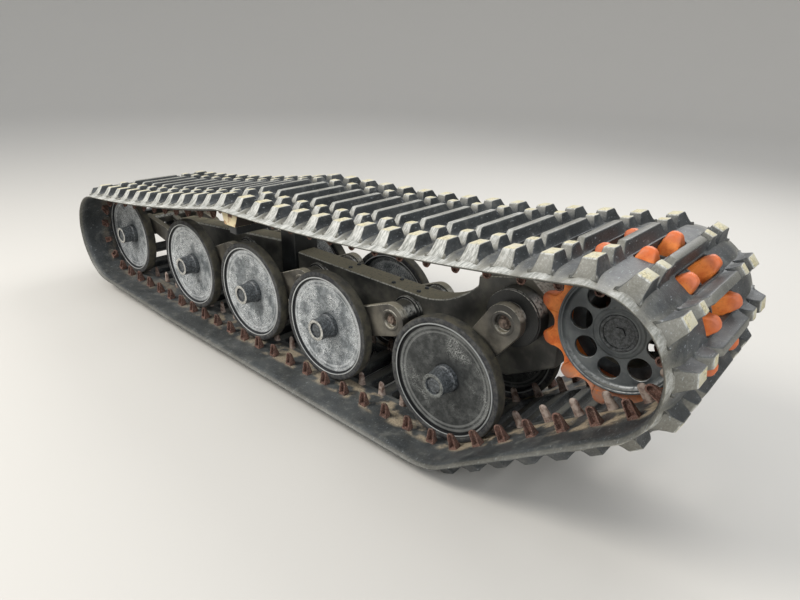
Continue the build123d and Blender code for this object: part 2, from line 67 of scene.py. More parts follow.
# name, place, what it faces, width, power, colour
lamps = [
    ("key", (-2.0, -3.2, 3.8), (0.1, 0.0, 0.3), 2.0, 235, (1.0, 0.97, 0.92)),
    ("fill", (3.8, -1.9, 2.2), (0.4, 0.0, 0.3), 2.4, 70, (0.94, 0.97, 1.0)),
    ("back", (0.4, 3.2, 3.4), (0.0, 0.0, 0.4), 3.0, 110, (1.0, 1.0, 1.0)),
]
for name, stand, towards, width, power, colour in lamps:
    lamp = bpy.data.lights.new(name, "AREA")
    lamp.shape = "DISK"
    lamp.size = width
    lamp.energy = power
    lamp.color = colour
    lamp_object = bpy.data.objects.new(name, lamp)
    bpy.context.scene.collection.objects.link(lamp_object)
    aim = (Vector(towards) - Vector(stand)).to_track_quat("-Z", "Y").to_matrix().to_4x4()
    lamp_object.matrix_world = Matrix.Translation(stand) @ aim


def linear(colour):
    """An sRGB hex colour as the shader wants it."""
    channels = [int(colour[i:i + 2], 16) / 255 for i in (1, 3, 5)]
    return [c / 12.92 if c <= 0.04045 else ((c + 0.055) / 1.055) ** 2.4 for c in channels] + [1.0]


def wire(node, sockets):
    """Sets a node's sockets to numbers or hex colours, or links them to other nodes' outputs."""
    for key, value in sockets.items():
        if isinstance(value, bpy.types.NodeSocket):
            node.id_data.links.new(value, node.inputs[key])
        else:
            node.inputs[key].default_value = linear(value) if isinstance(value, str) else value


def surface(name):
    """A new material, its shader, the function that adds a node to it, and places in metres."""
    material = bpy.data.materials.new(name)
    material.use_nodes = True
    tree = material.node_tree

    def add(kind, sockets=(), output=0, **settings):
        """Adds a node with its settings and links, and gives one of its outputs."""
        node = tree.nodes.new("ShaderNode" + kind)
        for setting, value in settings.items():
            setattr(node, setting, value)
        wire(node, dict(sockets))
        return node.outputs[output]

    return material, tree.nodes["Principled BSDF"], add, add("TexCoord", output="Object")


AROUND = 96
FLAT_R, CURVE_R, WALL_TOP = 9.0, 5.0, 9.0
floor_mesh = bpy.data.meshes.new("floor")
bm = bmesh.new()
sweep = [(7.0, 0.0), (FLAT_R, 0.0)]
sweep += [(FLAT_R + CURVE_R * sin(pi * i / 24), CURVE_R - CURVE_R * cos(pi * i / 24)) for i in range(1, 13)]
sweep += [(FLAT_R + CURVE_R, WALL_TOP)]
turns = [2 * pi * k / AROUND for k in range(AROUND)]
rows = [[bm.verts.new((r * cos(a), r * sin(a), z)) for a in turns] for r, z in sweep]
bm.faces.new(rows[0])
for low, high in zip(rows, rows[1:]):
    for k in range(AROUND):
        m = (k + 1) % AROUND
        bm.faces.new((low[k], high[k], high[m], low[m]))
bm.to_mesh(floor_mesh)
bm.free()
for face in floor_mesh.polygons:
    face.use_smooth = True
floor = bpy.data.objects.new("floor", floor_mesh)
bpy.context.scene.collection.objects.link(floor)
floor_paint, shader, add, place = surface("floor_matt_pale")
wire(shader, {"Base Color": "#bdbab4", "Roughness": 0.9})
floor_mesh.materials.append(floor_paint)


# Track path: the inner face of the belt, round the idler, along the ground, over the sprocket and back
# over the wear pads. Distances along it are measured at the belt's cords, which keep their length.
LINKS = 64
CORD = 13.0
# x and z of the axles of the idler and the sprocket, and of the road wheels, which share one height
IDLER = (-1122.0, 251.5)
SPROCKET = (1149.0, 508.5)
WHEEL_X = (-594.0, -175.0, 238.0, 721.0)
AXLE_Z = 236.5
TYRE_R = 186.5
# radii of the belt's inner face on the sprocket and the pads, and its sags ahead of the pads and behind
WRAP_R, PAD_R = 160.0, 400.0
PAD_SAG, REAR_SAG = 24, 16


def sag_circle(before, after, depth):
    """The circle of a stretch that hangs between two others and touches both."""
    xa, za, ra = before
    xb, zb, rb = after
    reach = hypot(xb - xa, zb - za)
    radius = reach ** 2 / (8 * depth)
    along = (reach ** 2 + (radius + ra) ** 2 - (radius + rb) ** 2) / (2 * reach)
    height = sqrt((radius + ra) ** 2 - along ** 2)
    ahead_x, ahead_z = (xb - xa) / reach, (zb - za) / reach
    return xa + along * ahead_x + height * ahead_z, za + along * ahead_z - height * ahead_x, -radius


idler_circle = (*IDLER, TYRE_R)
sprocket_circle = (*SPROCKET, WRAP_R)
pad_circle = (-86.0, 175.5, PAD_R)
circles = [
    idler_circle,
    (WHEEL_X[0], AXLE_Z, TYRE_R),
    (WHEEL_X[-1], AXLE_Z, TYRE_R),
    sprocket_circle,
    sag_circle(sprocket_circle, pad_circle, PAD_SAG),
    pad_circle,
    sag_circle(pad_circle, idler_circle, REAR_SAG),
]
# which way the belt heads as it leaves each circle
headings = []
for (xa, za, ra), (xb, zb, rb) in zip(circles, circles[1:] + circles[:1]):
    reach = hypot(xb - xa, zb - za)
    headings.append(atan2(zb - za, xb - xa) - asin(max(-1, min(1, (rb - ra) / reach))))
# x and z of an arc's centre or a straight's start, radius or None, and heading at the start
stretches = []
starts = []
track_length = 0.0
for i, (x, z, r) in enumerate(circles):
    arriving, leaving = headings[i - 1], headings[i]
    bend = (leaving - arriving + pi) % (2 * pi) - pi
    if r > 0 and bend < 0:
        bend += 2 * pi
    starts.append(track_length)
    stretches.append((x, z, r, arriving))
    track_length += abs((r + CORD) * bend)
    xn, zn, rn = circles[(i + 1) % len(circles)]
    start = (x + r * sin(leaving), z - r * cos(leaving))
    end = (xn + rn * sin(leaving), zn - rn * cos(leaving))
    starts.append(track_length)
    stretches.append((start[0], start[1], None, leaving))
    track_length += hypot(end[0] - start[0], end[1] - start[1])
pitch_length = track_length / LINKS
# one window meets the tooth of the sprocket that points this far above forward
tooth_angle = radians(23.3)
over_sprocket = circles.index(sprocket_circle)
wrapped = (tooth_angle + pi / 2 - headings[over_sprocket - 1]) % (2 * pi)
first_window = starts[2 * over_sprocket] + (WRAP_R + CORD) * wrapped


def path_frame(s):
    """Point on the belt's inner face, forward direction and outward direction at a distance."""
    s %= track_length
    i = bisect_right(starts, s) - 1
    x, z, r, heading = stretches[i]
    run = s - starts[i]
    if r is None:
        forward = (cos(heading), sin(heading))
        return x + run * forward[0], z + run * forward[1], forward, (forward[1], -forward[0])
    turned = heading + run / (r + CORD)
    forward = (cos(turned), sin(turned))
    return x + r * forward[1], z - r * forward[0], forward, (forward[1], -forward[0])


def on_band(s, y, h):
    """A point of the bent belt, h outward from its inner face."""
    x, z, forward, out = path_frame(s)
    return (x + out[0] * h, y, z + out[1] * h)


# Track rubber: moulded rubber with carbon black in it, gone blue-grey and satin with age. Pale dust covers
# the crests that meet the ground, clay cakes round the horns, and stones have drawn scratches.
PRODUCT = {"operation": "MULTIPLY", "use_clamp": True}
GRAIN = {"Detail": 6.0, "Roughness": 0.6}


def where(add, *steps, most=1.0):
    """How much a coat covers: smooth steps of patterns, each given with its ends, times the most."""
    cover = None
    for pattern, low, high in steps:
        step = add("MapRange", {0: pattern, 1: low, 2: high}, interpolation_type="SMOOTHSTEP")
        cover = step if cover is None else add("Math", {0: cover, 1: step}, **PRODUCT)
    return cover if most == 1.0 else add("Math", {0: cover, 1: most}, **PRODUCT)


def coats(add, base, *layers):
    """The colour of a base under layers, each given as how much it covers and its colour."""
    for cover, colour in layers:
        base = add("Mix", {0: cover, 6: base, 7: colour}, output=2, data_type="RGBA")
    return base


def upward(add):
    """How far a face looks up, where dust settles."""
    return add("SeparateXYZ", {0: add("NewGeometry", output="Normal")}, output=2)


track_rubber, shader, add, place = surface("track_rubber_dusty")
# the trodden share also carries painted shade: less dust on the lower run, on the wrap and in the middle of
# the centre bars
trodden_and_shaded = add("Attribute", output="Fac", attribute_name="trodden_and_shaded")
broad = add("TexNoise", {**GRAIN, "Vector": place, "Scale": 1000 / 160, "Detail": 3.0})
patch = add("TexNoise", {**GRAIN, "Vector": place, "Scale": 1000 / 34})
fine = add("TexNoise", {"Vector": place, "Scale": 1000 / 5, "Detail": 8.0, "Roughness": 0.7})
clods = add("TexNoise", {"Vector": place, "Scale": 1000 / 16, "Detail": 8.0, "Roughness": 0.75})
caked = add("TexNoise", {"Vector": place, "Scale": 1000 / 55, "Detail": 3.0, "Roughness": 0.5})
# marks are drawn out along the bars and across the belt
drawn_out = add("VectorMath", {0: place, 1: (1.0, 0.14, 0.3)}, operation="MULTIPLY")
streaks = add("TexNoise", {"Vector": drawn_out, "Scale": 1000 / 5, "Detail": 6.0, "Roughness": 0.65})
scored = add("TexNoise", {"Vector": drawn_out, "Scale": 1000 / 2.2, "Detail": 2.0, "Roughness": 0.5})
worn = add("Math", {0: trodden_and_shaded, 1: add("Math", {0: fine, 1: 0.3}, **PRODUCT)}, operation="ADD")
bare = add("Math", {0: 0.0, 1: trodden_and_shaded}, operation="SUBTRACT")
along = add("SeparateXYZ", {0: place})
more_ahead = add("MapRange", {0: along, 1: -1.0, 2: 0.4, 3: 0.25, 4: 0.85})
film = coats(add, "#85867f", (where(add, (streaks, 0.36, 0.62)), "#cac9c2"),
             (where(add, (worn, 0.72, 0.5)), "#8f8b7d"))
dust = coats(add, "#8f876c", (where(add, (fine, 0.38, 0.58)), "#c6bd9b"),
             (where(add, (patch, 0.42, 0.62)), "#b9b39d"))
dusted = where(add, (worn, 0.92, 1.16), (clods, 0.3, 0.44))
clay = coats(add, "#7a6c59", (where(add, (fine, 0.3, 0.7)), "#b6a88f"))
clayed = where(add, (bare, 0.3, 0.9), (caked, 0.44, 0.6))
rubber = coats(add, "#1f2223",
               (where(add, (broad, 0.35, 0.7)), "#3e4142"),
               (where(add, (fine, 0.45, 0.7), most=0.45), "#565b5e"),
               (where(add, (patch, 0.52, 0.68), (broad, 0.3, 0.6), most=0.4), "#767670"),
               (where(add, (upward(add), 0.55, 0.98), (patch, 0.3, 0.62), most=0.16), "#6a6a64"),
               (where(add, (worn, 0.16, 0.84), (clods, 0.2, 0.42), most=0.85), film),
               (dusted, dust),
               (add("Math", {0: clayed, 1: more_ahead}, **PRODUCT), clay),
               (where(add, (scored, 0.66, 0.72), most=0.5), "#a3a8aa"))
wire(shader, {"Base Color": rubber, "Roughness": add("MapRange", {0: dusted, 3: 0.5, 4: 0.9}),
              "Normal": add("Bump", {"Height": fine, "Distance": 0.5 / 1000})})


# Track band: an endless rubber belt over steel cords, moulded flat and joined to a loop. It has a slot a
# pitch, from guide row to guide row, where the sprocket's teeth come through.
BAND = 20.0
SLOT_HALF_LENGTH, SLOT_HALF_WIDTH, SLOT_CORNER = 24.5, 107.0, 13
# place across the belt, height of the inner face, and how far the outer face is lower than the belt's,
# under a lug and between two
margin = [(136, 0, 0, 0), (174, 0, 0, 0), (206, 0, 0, 0), (240, 0, 0, 1.5), (262, -0.5, 1, 5),
          (278, -1.2, 3, 7.5), (290, -1.5, 5.5, 9), (294, 0.2, 6, 9.3), (302, 2.6, 7.3, 9.8),
          (307.5, 5.4, 8.3, 10.3), (310, 7.6, 9.8, 11)]
margin = [(y, inner, BAND - under, BAND - between) for y, inner, under, between in margin]
sections = [(-y, *heights) for y, *heights in margin[::-1]]
# the slots are cut in the sixteen spans between the margins
first_span, last_span = len(sections), len(sections) + 16
sections += [(-117 + 234 * i / 16, 0, BAND, BAND) for i in range(17)] + margin
half_pitch = pitch_length / 2
# places along a link, the slot being cut from the third to the eleventh
steps = [-half_pitch, -half_pitch * 0.86, -33] + [-33 + 8.25 * i for i in range(1, 8)]
steps += [33, half_pitch * 0.86]
FIRST_CUT, LAST_CUT = 2, 10


def rise(value, start, end):
    """0 up to the start, 1 from the end on, and a straight slope between."""
    return min(max((value - start) / (end - start), 0), 1)


def dust_and_shade(place, share):
    """Dust lies on the upper run, comes off near the ground and is thinner round the sprocket; the dust so
    taken off the lower run and the wrap is also painted shade there.
    """
    # painted shade: below 370 mm the dust falls to a tenth, which darkens the lower run, and it thins on
    # the wrap round the sprocket
    kept = 1.0 if share > 0.85 else 1 - 0.36 * rise(place.x, 820, 1070)
    return share * kept * max(rise(place.z, 250, 370), 0.1)


def skin(bm, loops):
    """Joins each closed loop of points to the next with a ring of faces."""
    for one, two in zip(loops, loops[1:]):
        for k in range(len(one)):
            m = (k + 1) % len(one)
            bm.faces.new((one[k], one[m], two[m], two[k]))


def piece(name, bm, materials, replaces, bevel=0.0, angle=35):
    """Finishes a mesh drawn in millimetres as one piece of the unit."""
    bmesh.ops.scale(bm, vec=(0.001, 0.001, 0.001), verts=bm.verts)
    bmesh.ops.recalc_face_normals(bm, faces=bm.faces)
    mesh = bpy.data.meshes.new(name)
    bm.to_mesh(mesh)
    bm.free()
    for face in mesh.polygons:
        face.use_smooth = True
    mesh.set_sharp_from_angle(angle=radians(angle))
    for material in materials:
        mesh.materials.append(material)
    obj = bpy.data.objects.new(name, mesh)
    bpy.context.scene.collection.objects.link(obj)
    if bevel:
        modifier = obj.modifiers.new("edges", "BEVEL")
        modifier.width = bevel / 1000
        modifier.segments = 3
        modifier.limit_method = "ANGLE"
        modifier.angle_limit = radians(38)
        modifier.harden_normals = True
    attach(obj, "root")
    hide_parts(*replaces)


bm = bmesh.new()
layer = bm.verts.layers.float.new("trodden_and_shaded")
inner_rows, outer_rows = [], []
for link in range(LINKS):
    middle = first_window + link * pitch_length
    for step in steps:
        # between two lugs the margin is hollowed like a saddle
        scoop = 1 - sqrt(max(0, 1 - (step / 31) ** 2))
        inner_row = [bm.verts.new(on_band(middle + step, y, inner)) for y, inner, top, valley in sections]
        outer_row = [bm.verts.new(on_band(middle + step, y, valley + (top - valley) * scoop))
                     for y, inner, top, valley in sections]
        for vert, (y, *heights) in zip(outer_row, sections):
            beside_lug = rise(abs(step), 7, 20) if abs(y) > 195 else 0
            vert[layer] = dust_and_shade(vert.co, 0.04 + rise(abs(y), 240, 294) * 0.42 + beside_lug * 0.3)
        for vert, (y, *heights) in zip(inner_row, sections):
            vert[layer] = 0.24 if abs(y) > 300 or abs(y) < 120 else -1.0 if abs(y) < 210 else 0.0
        inner_rows.append(inner_row)
        outer_rows.append(outer_row)
for a in range(len(inner_rows)):
    b = (a + 1) % len(inner_rows)
    cut = FIRST_CUT <= a % len(steps) < LAST_CUT
    for i in range(len(sections) - 1):
        if cut and first_span <= i < last_span:
            continue
        bm.faces.new((inner_rows[a][i], inner_rows[a][i + 1], inner_rows[b][i + 1], inner_rows[b][i]))
        bm.faces.new((outer_rows[a][i], outer_rows[b][i], outer_rows[b][i + 1], outer_rows[a][i + 1]))
    for i in (0, len(sections) - 1):
        bm.faces.new((inner_rows[a][i], inner_rows[b][i], outer_rows[b][i], outer_rows[a][i]))
# points round a slot, as shares of its half length and half width
around = [(-1 + k / 4, -1) for k in range(8)] + [(1, -1 + k / 8) for k in range(16)]
around += [(-u, -v) for u, v in around]


def slot_loop(bm, middle, grow, depth):
    """Points round a slot with round corners, wider by grow on all sides."""
    reach_s, reach_y, corner = SLOT_HALF_LENGTH + grow, SLOT_HALF_WIDTH + grow, SLOT_CORNER + grow
    loop = []
    for u, v in around:
        along, y = u * reach_s, v * reach_y
        past_s, past_y = abs(along) - reach_s + corner, abs(y) - reach_y + corner
        if past_s > 0 and past_y > 0:
            far = hypot(past_s, past_y)
            along = (reach_s - corner + corner * past_s / far) * (1 if u > 0 else -1)
            y = (reach_y - corner + corner * past_y / far) * (1 if v > 0 else -1)
        loop.append(bm.verts.new(on_band(middle + along, y, depth)))
    return loop


for link in range(LINKS):
    middle = first_window + link * pitch_length
    rims = []
    for rows, h, rim in ((inner_rows, 0, 2), (outer_rows, BAND, BAND - 2)):
        first, last = link * len(steps) + FIRST_CUT, link * len(steps) + LAST_CUT
        edge = [rows[i][first_span] for i in range(first, last)]
        edge += [rows[last][i] for i in range(first_span, last_span)]
        edge += [rows[i][last_span] for i in range(last, first, -1)]
        edge += [rows[first][i] for i in range(last_span, first_span, -1)]
        rounding = ((2.2, h), (0.6, (h * 3 + rim) / 4), (0.0, rim))
        loops = [edge] + [slot_loop(bm, middle, grow, depth) for grow, depth in rounding]
        skin(bm, loops)
        rims.append(loops[-1])
    skin(bm, rims)
piece("track_band", bm, [track_rubber], ["track_band"], angle=50)


# Lugs: edge blocks, second blocks and long centre bars of the same rubber, moulded on the belt between
# its slots. Their crests are worn flat.
TOP = 49.97
# share of the way from the top's half length to the foot's, and height: mm below the belt's face, or
# else the share of the lug's own height
LUG_SIDE = [(1.0, -10.0), (0.74, -2.0), (0.5, 0.06), (0.3, 0.28), (0.14, 0.6), (0.04, 0.9)]
# place across, half length on top and at the foot, height over the inner face, and how trodden
edge_block = [(200, 17, 27, 21, 0), (204, 15.8, 26, 33, 0.15), (208, 15, 25, 45.5, 0.3),
              (210.5, 14.6, 25, 49.4, 0.9), (213, 14.6, 25, TOP, 1), (232, 14.6, 25, TOP, 1),
              (252, 15.2, 25, TOP, 1), (255, 16, 25, 49, 0.9), (258, 16.8, 25, 46, 0.64),
              (263.5, 18.2, 25.5, 38, 0.6), (270, 19.6, 26.5, 29.5, 0.58), (276, 21, 27.5, 22.6, 0.56),
              (281, 22.4, 28.5, 18.6, 0.54), (286, 24.5, 30, 15, 0.52)]
second_block = [(128, 17, 26, 21, 0), (132, 14.5, 26, 34, 0.2), (136, 12.6, 25, 47, 0.5),
                (139, 12.2, 25, TOP, 1), (150, 13.5, 25, TOP, 1), (163, 13.2, 25, TOP, 1),
                (167, 12.8, 25, 48.8, 0.8), (171, 13.2, 25, 44.5, 0.55), (178, 14.5, 26, 34.5, 0.5),
                (184, 16.5, 27, 26, 0.4), (190, 19, 27, 20.4, 0.2)]
# The centre bars' crests are dusty, but their share is kept below the blocks' and lowest in the middle:
# this is painted shade, as the vehicle's body casts on them.
centre_bar = [(-124, 16, 22, 20.4, 0.25), (-119, 13, 21, 26, 0.42), (-112, 10.5, 21, 36.5, 0.5),
              (-105, 9, 21, 46, 0.55), (-101.5, 9, 21, 49.2, 0.55), (-98, 10, 21, TOP, 0.52),
              (-50, 10.4, 21, TOP, 0.46), (0, 10.4, 21, TOP, 0.42)]
centre_bar += [(-y, *rest) for y, *rest in centre_bar[-2::-1]]


def on_lug(s, along, y, h):
    """A point of a lug: its foot bends with the belt and its top keeps its shape."""
    foot = on_band(s + along, y, h)
    x, z, forward, out = path_frame(s)
    stiff = (x + forward[0] * along + out[0] * h, y, z + forward[1] * along + out[1] * h)
    share = rise(h, 19, 31)
    return tuple(a + (b - a) * share for a, b in zip(foot, stiff))


def lug(bm, layer, s, stations):
    """Joins cross-sections, one for each row of a lug's table."""
    rings = []
    for y, top, foot, high, worn in stations:
        grime = worn * 0.7 if abs(y) > 272 else 0.0
        side = [(top + (foot - top) * flare, BAND + (high - BAND) * up if up > 0 else BAND + up, grime)
                for flare, up in LUG_SIDE]
        side.append((max(top - 0.5, 0.5), high - 0.8, 0.55 * worn))
        side.append((max(top - 1.8, 0.3), high, worn))
        ring = []
        for a, h, share in [(-a, h, share) for a, h, share in side] + side[::-1]:
            vert = bm.verts.new(on_lug(s, a, y, h))
            vert[layer] = dust_and_shade(vert.co, share)
            ring.append(vert)
        rings.append(ring)
    skin(bm, rings)
    bm.faces.new(rings[0][::-1])
    bm.faces.new(rings[-1])


bm = bmesh.new()
layer = bm.verts.layers.float.new("trodden_and_shaded")
for link in range(LINKS):
    s = first_window + (link + 0.5) * pitch_length
    lug(bm, layer, s, centre_bar)
    for side in (-1, 1):
        lug(bm, layer, s, [(side * y, *rest) for y, *rest in edge_block])
        lug(bm, layer, s, [(side * y, *rest) for y, *rest in second_block])
piece("track_lugs", bm, [track_rubber], ["track_band"], angle=42)


# Guide horns: pressed steel fingers moulded into the belt on both sides of each row of wheels, to keep
# it on them. They are open on the side away from the wheels, and stand between the belt's slots.
HORN_HEIGHT, HORN_HALF = 46.0, 11.5
# the open face leans towards the wheels by this share of the height
HORN_LEAN = 0.15


def mottled(name, size_mm, low, high, dark, light, roughness, metallic=0.0, **grain):
    """A finish of two tones, in blotches about that many millimetres across."""
    material, shader, add, place = surface(name)
    blotch = add("TexNoise", {**GRAIN, "Vector": place, "Scale": 1000 / size_mm, **grain})
    wire(shader, {"Base Color": coats(add, dark, (where(add, (blotch, low, high)), light)),
                  "Roughness": roughness, "Metallic": metallic})
    return material


# bare steel rusted in the wet: matt and red-brown, with paler grit in it
horn_steel, shader, add, place = surface("pressed_steel_rusted")
blotch, grit = [add("TexNoise", {**GRAIN, "Vector": place, "Scale": 1000 / size_mm}) for size_mm in (14, 3)]
rust = coats(add, "#432e27", (where(add, (blotch, 0.35, 0.65)), "#694a3f"),
             (where(add, (grit, 0.46, 0.66), most=0.55), "#9a8174"))
wire(shader, {"Base Color": rust, "Roughness": 0.85,
              "Normal": add("Bump", {"Height": grit, "Distance": 0.8 / 1000})})
# the same steel in the inner rows, where the rust is thin and pale metal comes through
worn_horn = mottled("pressed_steel_worn_pale", 16, 0.35, 0.62, "#5d463c", "#9d8f85", 0.6)


def horn(bm, s, y_face, away, depth):
    """A horn whose open face stands at y_face and whose smooth back looks the other way."""
    x, z, forward, out = path_frame(s)

    def at(u, w, v):
        """A point u along the belt, w behind the open face and v up from the belt."""
        y = y_face - away * (w + HORN_LEAN * v)
        return (x + forward[0] * u - out[0] * v, y, z + forward[1] * u - out[1] * v)

    foot = [(-HORN_HALF - 3, -3), (-HORN_HALF - 1, 4), (-HORN_HALF, 14),
            (-HORN_HALF + 0.5, HORN_HEIGHT - 12)]
    crown = [(-(HORN_HALF - 0.5) * cos(pi * i / 8), HORN_HEIGHT - 9.5 + 9.5 * sin(pi * i / 8))
             for i in range(1, 8)]
    outline = foot + crown + [(-u, v) for u, v in foot[::-1]]
    loops = []
    # share of the depth, and how far the outline is drawn in there
    for share, pinch in ((0.0, 1.0), (0.45, 0.97), (0.8, 0.8), (1.0, 0.45)):
        loop = []
        for u, v in outline:
            back = depth * (1 - 0.68 * max(v, 0) / HORN_HEIGHT)
            loop.append(bm.verts.new(at(u * pinch, back * share, v * (1 - 0.1 * share) if v > 0 else v)))
        loops.append(loop)
    # the pocket's floor and its mouth
    pocket = []
    for inset, sink in ((0.62, 0.5 * depth), (0.74, 0.0)):
        loop = []
        for u, v in outline:
            v_in = 5 + (max(v, 3) - 3) * (HORN_HEIGHT - 9) / (HORN_HEIGHT - 3)
            loop.append(bm.verts.new(at(u * inset, sink * (1 - 0.72 * v_in / HORN_HEIGHT), v_in)))
        pocket.append(loop)
    ladder = pocket + loops
    for one, two in zip(ladder, ladder[1:]):
        for k in range(len(outline) - 1):
            bm.faces.new((one[k], one[k + 1], two[k + 1], two[k]))
    bm.faces.new(pocket[0])
    bm.faces.new(loops[-1][::-1])
    bm.faces.new([loop[0] for loop in loops] + [loop[-1] for loop in loops[::-1]])
    for one, two in zip(ladder[:2], ladder[1:3]):
        bm.faces.new((one[0], one[-1], two[-1], two[0]))


# row, place of the open face, which way it looks, depth, finish
for name, y_face, turned, depth, finish in (("outer", 214, 1, 30.0, horn_steel),
                                            ("inner", 115, -1, 15.0, worn_horn)):
    bm = bmesh.new()
    for link in range(LINKS):
        s = first_window + (link + 0.5) * pitch_length
        for side in (-1, 1):
            horn(bm, s, side * y_face, side * turned, depth)
    piece("guide_horns_" + name, bm, [finish], ["track_band"], angle=50)


# Road wheels and the idler's: a solid rubber tyre on a rim pressed from sheet steel, whose dished disc is
# welded to a hub tube. The tube ends in a turned ring, and the axle is held in it by a cap.
SIDES = (("outboard", -1), ("inboard", 1))


def lathe(bm, profile, x, z, outward, segments=96, closed=True):
    """Turns a profile of (radius, distance outward from the middle plane) about an axle."""
    rings = []
    for r, y in profile:
        if r < 0.01:
            rings.append([bm.verts.new((x, outward * y, z))] * segments)
            continue
        turns = [2 * pi * i / segments for i in range(segments)]
        rings.append([bm.verts.new((x + r * cos(a), outward * y, z + r * sin(a))) for a in turns])
    for inner, outer in zip(rings, rings[1:] + rings[:1] if closed else rings[1:]):
        for i in range(segments):
            j = (i + 1) % segments
            corners = [inner[i], inner[j], outer[j], outer[i]]
            corners = [v for k, v in enumerate(corners) if v not in corners[:k]]
            if len(corners) > 2:
                bm.faces.new(corners)


# solid tyre rubber: brown with dried mud on the tread, darker and bluer on the flanks
tyre_rubber, shader, add, place = surface("tyre_rubber_dusty")
facing = add("SeparateXYZ", {0: add("NewGeometry", output="Normal")}, output=1)
side_on = where(add, (add("Math", {0: facing}, operation="ABSOLUTE"), 0.3, 0.8))
mud, rubs, fine = [add("TexNoise", {**GRAIN, "Vector": place, "Scale": 1000 / size_mm})
                   for size_mm in (30, 12, 4)]
tread = coats(add, "#302f2a", (where(add, (mud, 0.35, 0.65)), "#4d493c"))
flank = coats(add, "#25262a", (where(add, (rubs, 0.35, 0.7)), "#4b4b48"))
wire(shader, {"Base Color": coats(add, tread, (side_on, flank)), "Roughness": 0.8,
              "Normal": add("Bump", {"Height": fine, "Distance": 0.5 / 1000})})


def disc_finish(name, dark, mid, pale, whiteness, groove, rim):
    """Sheet steel with its zinc or paint worn to blotches, painted shade round the hub, dirt in its groove
    and a bright rim.
    """
    material, shader, add, place = surface(name)
    radius = add("Attribute", output="Fac", attribute_name="radius_mm")
    broad = add("TexNoise", {**GRAIN, "Vector": place, "Scale": 1000 / 75, "Detail": 4.0})
    patches = add("TexNoise", {"Vector": place, "Scale": 1000 / 20, "Detail": 10.0, "Roughness": 0.78})
    flecks = add("TexNoise", {"Vector": place, "Scale": 1000 / 3.2, "Detail": 4.0, "Roughness": 0.75})
    share = add("Math", {0: broad, 1: whiteness}, operation="ADD")
    lips = [(where(add, (radius, start, start + 2), (radius, end + 2, end), most=0.26), pale)
            for start, end in ((136, 142), (148, 155))]
    metal = coats(add, dark,
                  (where(add, (patches, 0.4, 0.6)), mid),
                  (where(add, (flecks, 0.47, 0.62), (share, 0.45, 0.68)), pale),
                  (where(add, (flecks, 0.43, 0.36), most=0.55), dark),
                  (where(add, (broad, 0.52, 0.38), most=0.5), dark),
                  # painted shade: the disc darkens towards the hub, in patches
                  (where(add, (radius, 82, 40), (patches, 0.3, 0.6), most=0.7), dark),
                  (where(add, (radius, 156, 159), (radius, 164.6, 163)), groove),
                  (where(add, (radius, 163.2, 164.4), most=0.95), rim), *lips)
    wire(shader, {"Base Color": metal, "Roughness": 0.42, "Metallic": 0.45,
                  "Normal": add("Bump", {"Height": patches, "Distance": 0.7 / 1000})})
    return material


# galvanised sheet steel: dull grey zinc with white bloom, and a rim that is rubbed bright
galvanised = disc_finish("galvanised_steel_weathered", "#585e61", "#a3a8ab", "#eef0f0", 0.12,
                         "#2e3032", "#c2c4c3")
# the fifth wheel's disc is painted black, and is worn to greys
worn_paint = disc_finish("black_paint_worn_grey", "#353737", "#585a59", "#b3b5b2", -0.04,
                         "#17181a", "#a3a6a5")
# black paint on turned steel: satin, mottled grey where it is chipped thin
hub_paint = mottled("hub_black_paint", 7, 0.42, 0.62, "#2c2f31", "#606467", 0.45,
                    Detail=8.0, Roughness=0.75)
# the turned end of a galvanised wheel's hub is worn bright, and that of the painted one is dull
bright_steel = mottled("bright_worn_steel", 5, 0.35, 0.6, "#7f7e79", "#c4c3bc", 0.4, metallic=0.4)
dull_steel = mottled("dull_grey_steel", 6, 0.35, 0.6, "#3e403e", "#6c6e6b", 0.5)

# x and z of each wheel's axle, and its disc's finish
wheels = [(*IDLER, galvanised)] + [(x, AXLE_Z, galvanised) for x in WHEEL_X[:-1]]
wheels.append((WHEEL_X[-1], AXLE_Z, worn_paint))
tyre_profile = [(168, 139), (170, 137.6), (180, 137.2), (184, 138.5), (186.3, 142), (TYRE_R, 148),
                (TYRE_R, 164), (186.3, 170), (184, 173.5), (180, 174.8), (173, 175), (171.6, 174.4),
                (170.5, 173), (168, 172.5)]
disc_profile = [(168, 172), (167.4, 174.4), (165, 174.8), (163.4, 173.8), (162.6, 171), (161.8, 167.6),
                (159, 166.6), (143, 166.0), (140, 164.6), (137, 164.2), (120, 163.2), (95, 160.4),
                (70, 157), (50, 154), (43, 152.8), (41, 150), (41, 142), (60, 144), (95, 150), (137, 156),
                (158, 158), (160, 140), (162, 139), (168, 139)]
hub_profile = [(24.3, 200), (25, 205), (25.3, 211), (27, 212), (34, 212), (35.6, 211), (36, 209), (36, 190),
               (36.3, 188), (36.5, 172), (38, 168), (41, 165), (41, 130), (24.3, 130)]
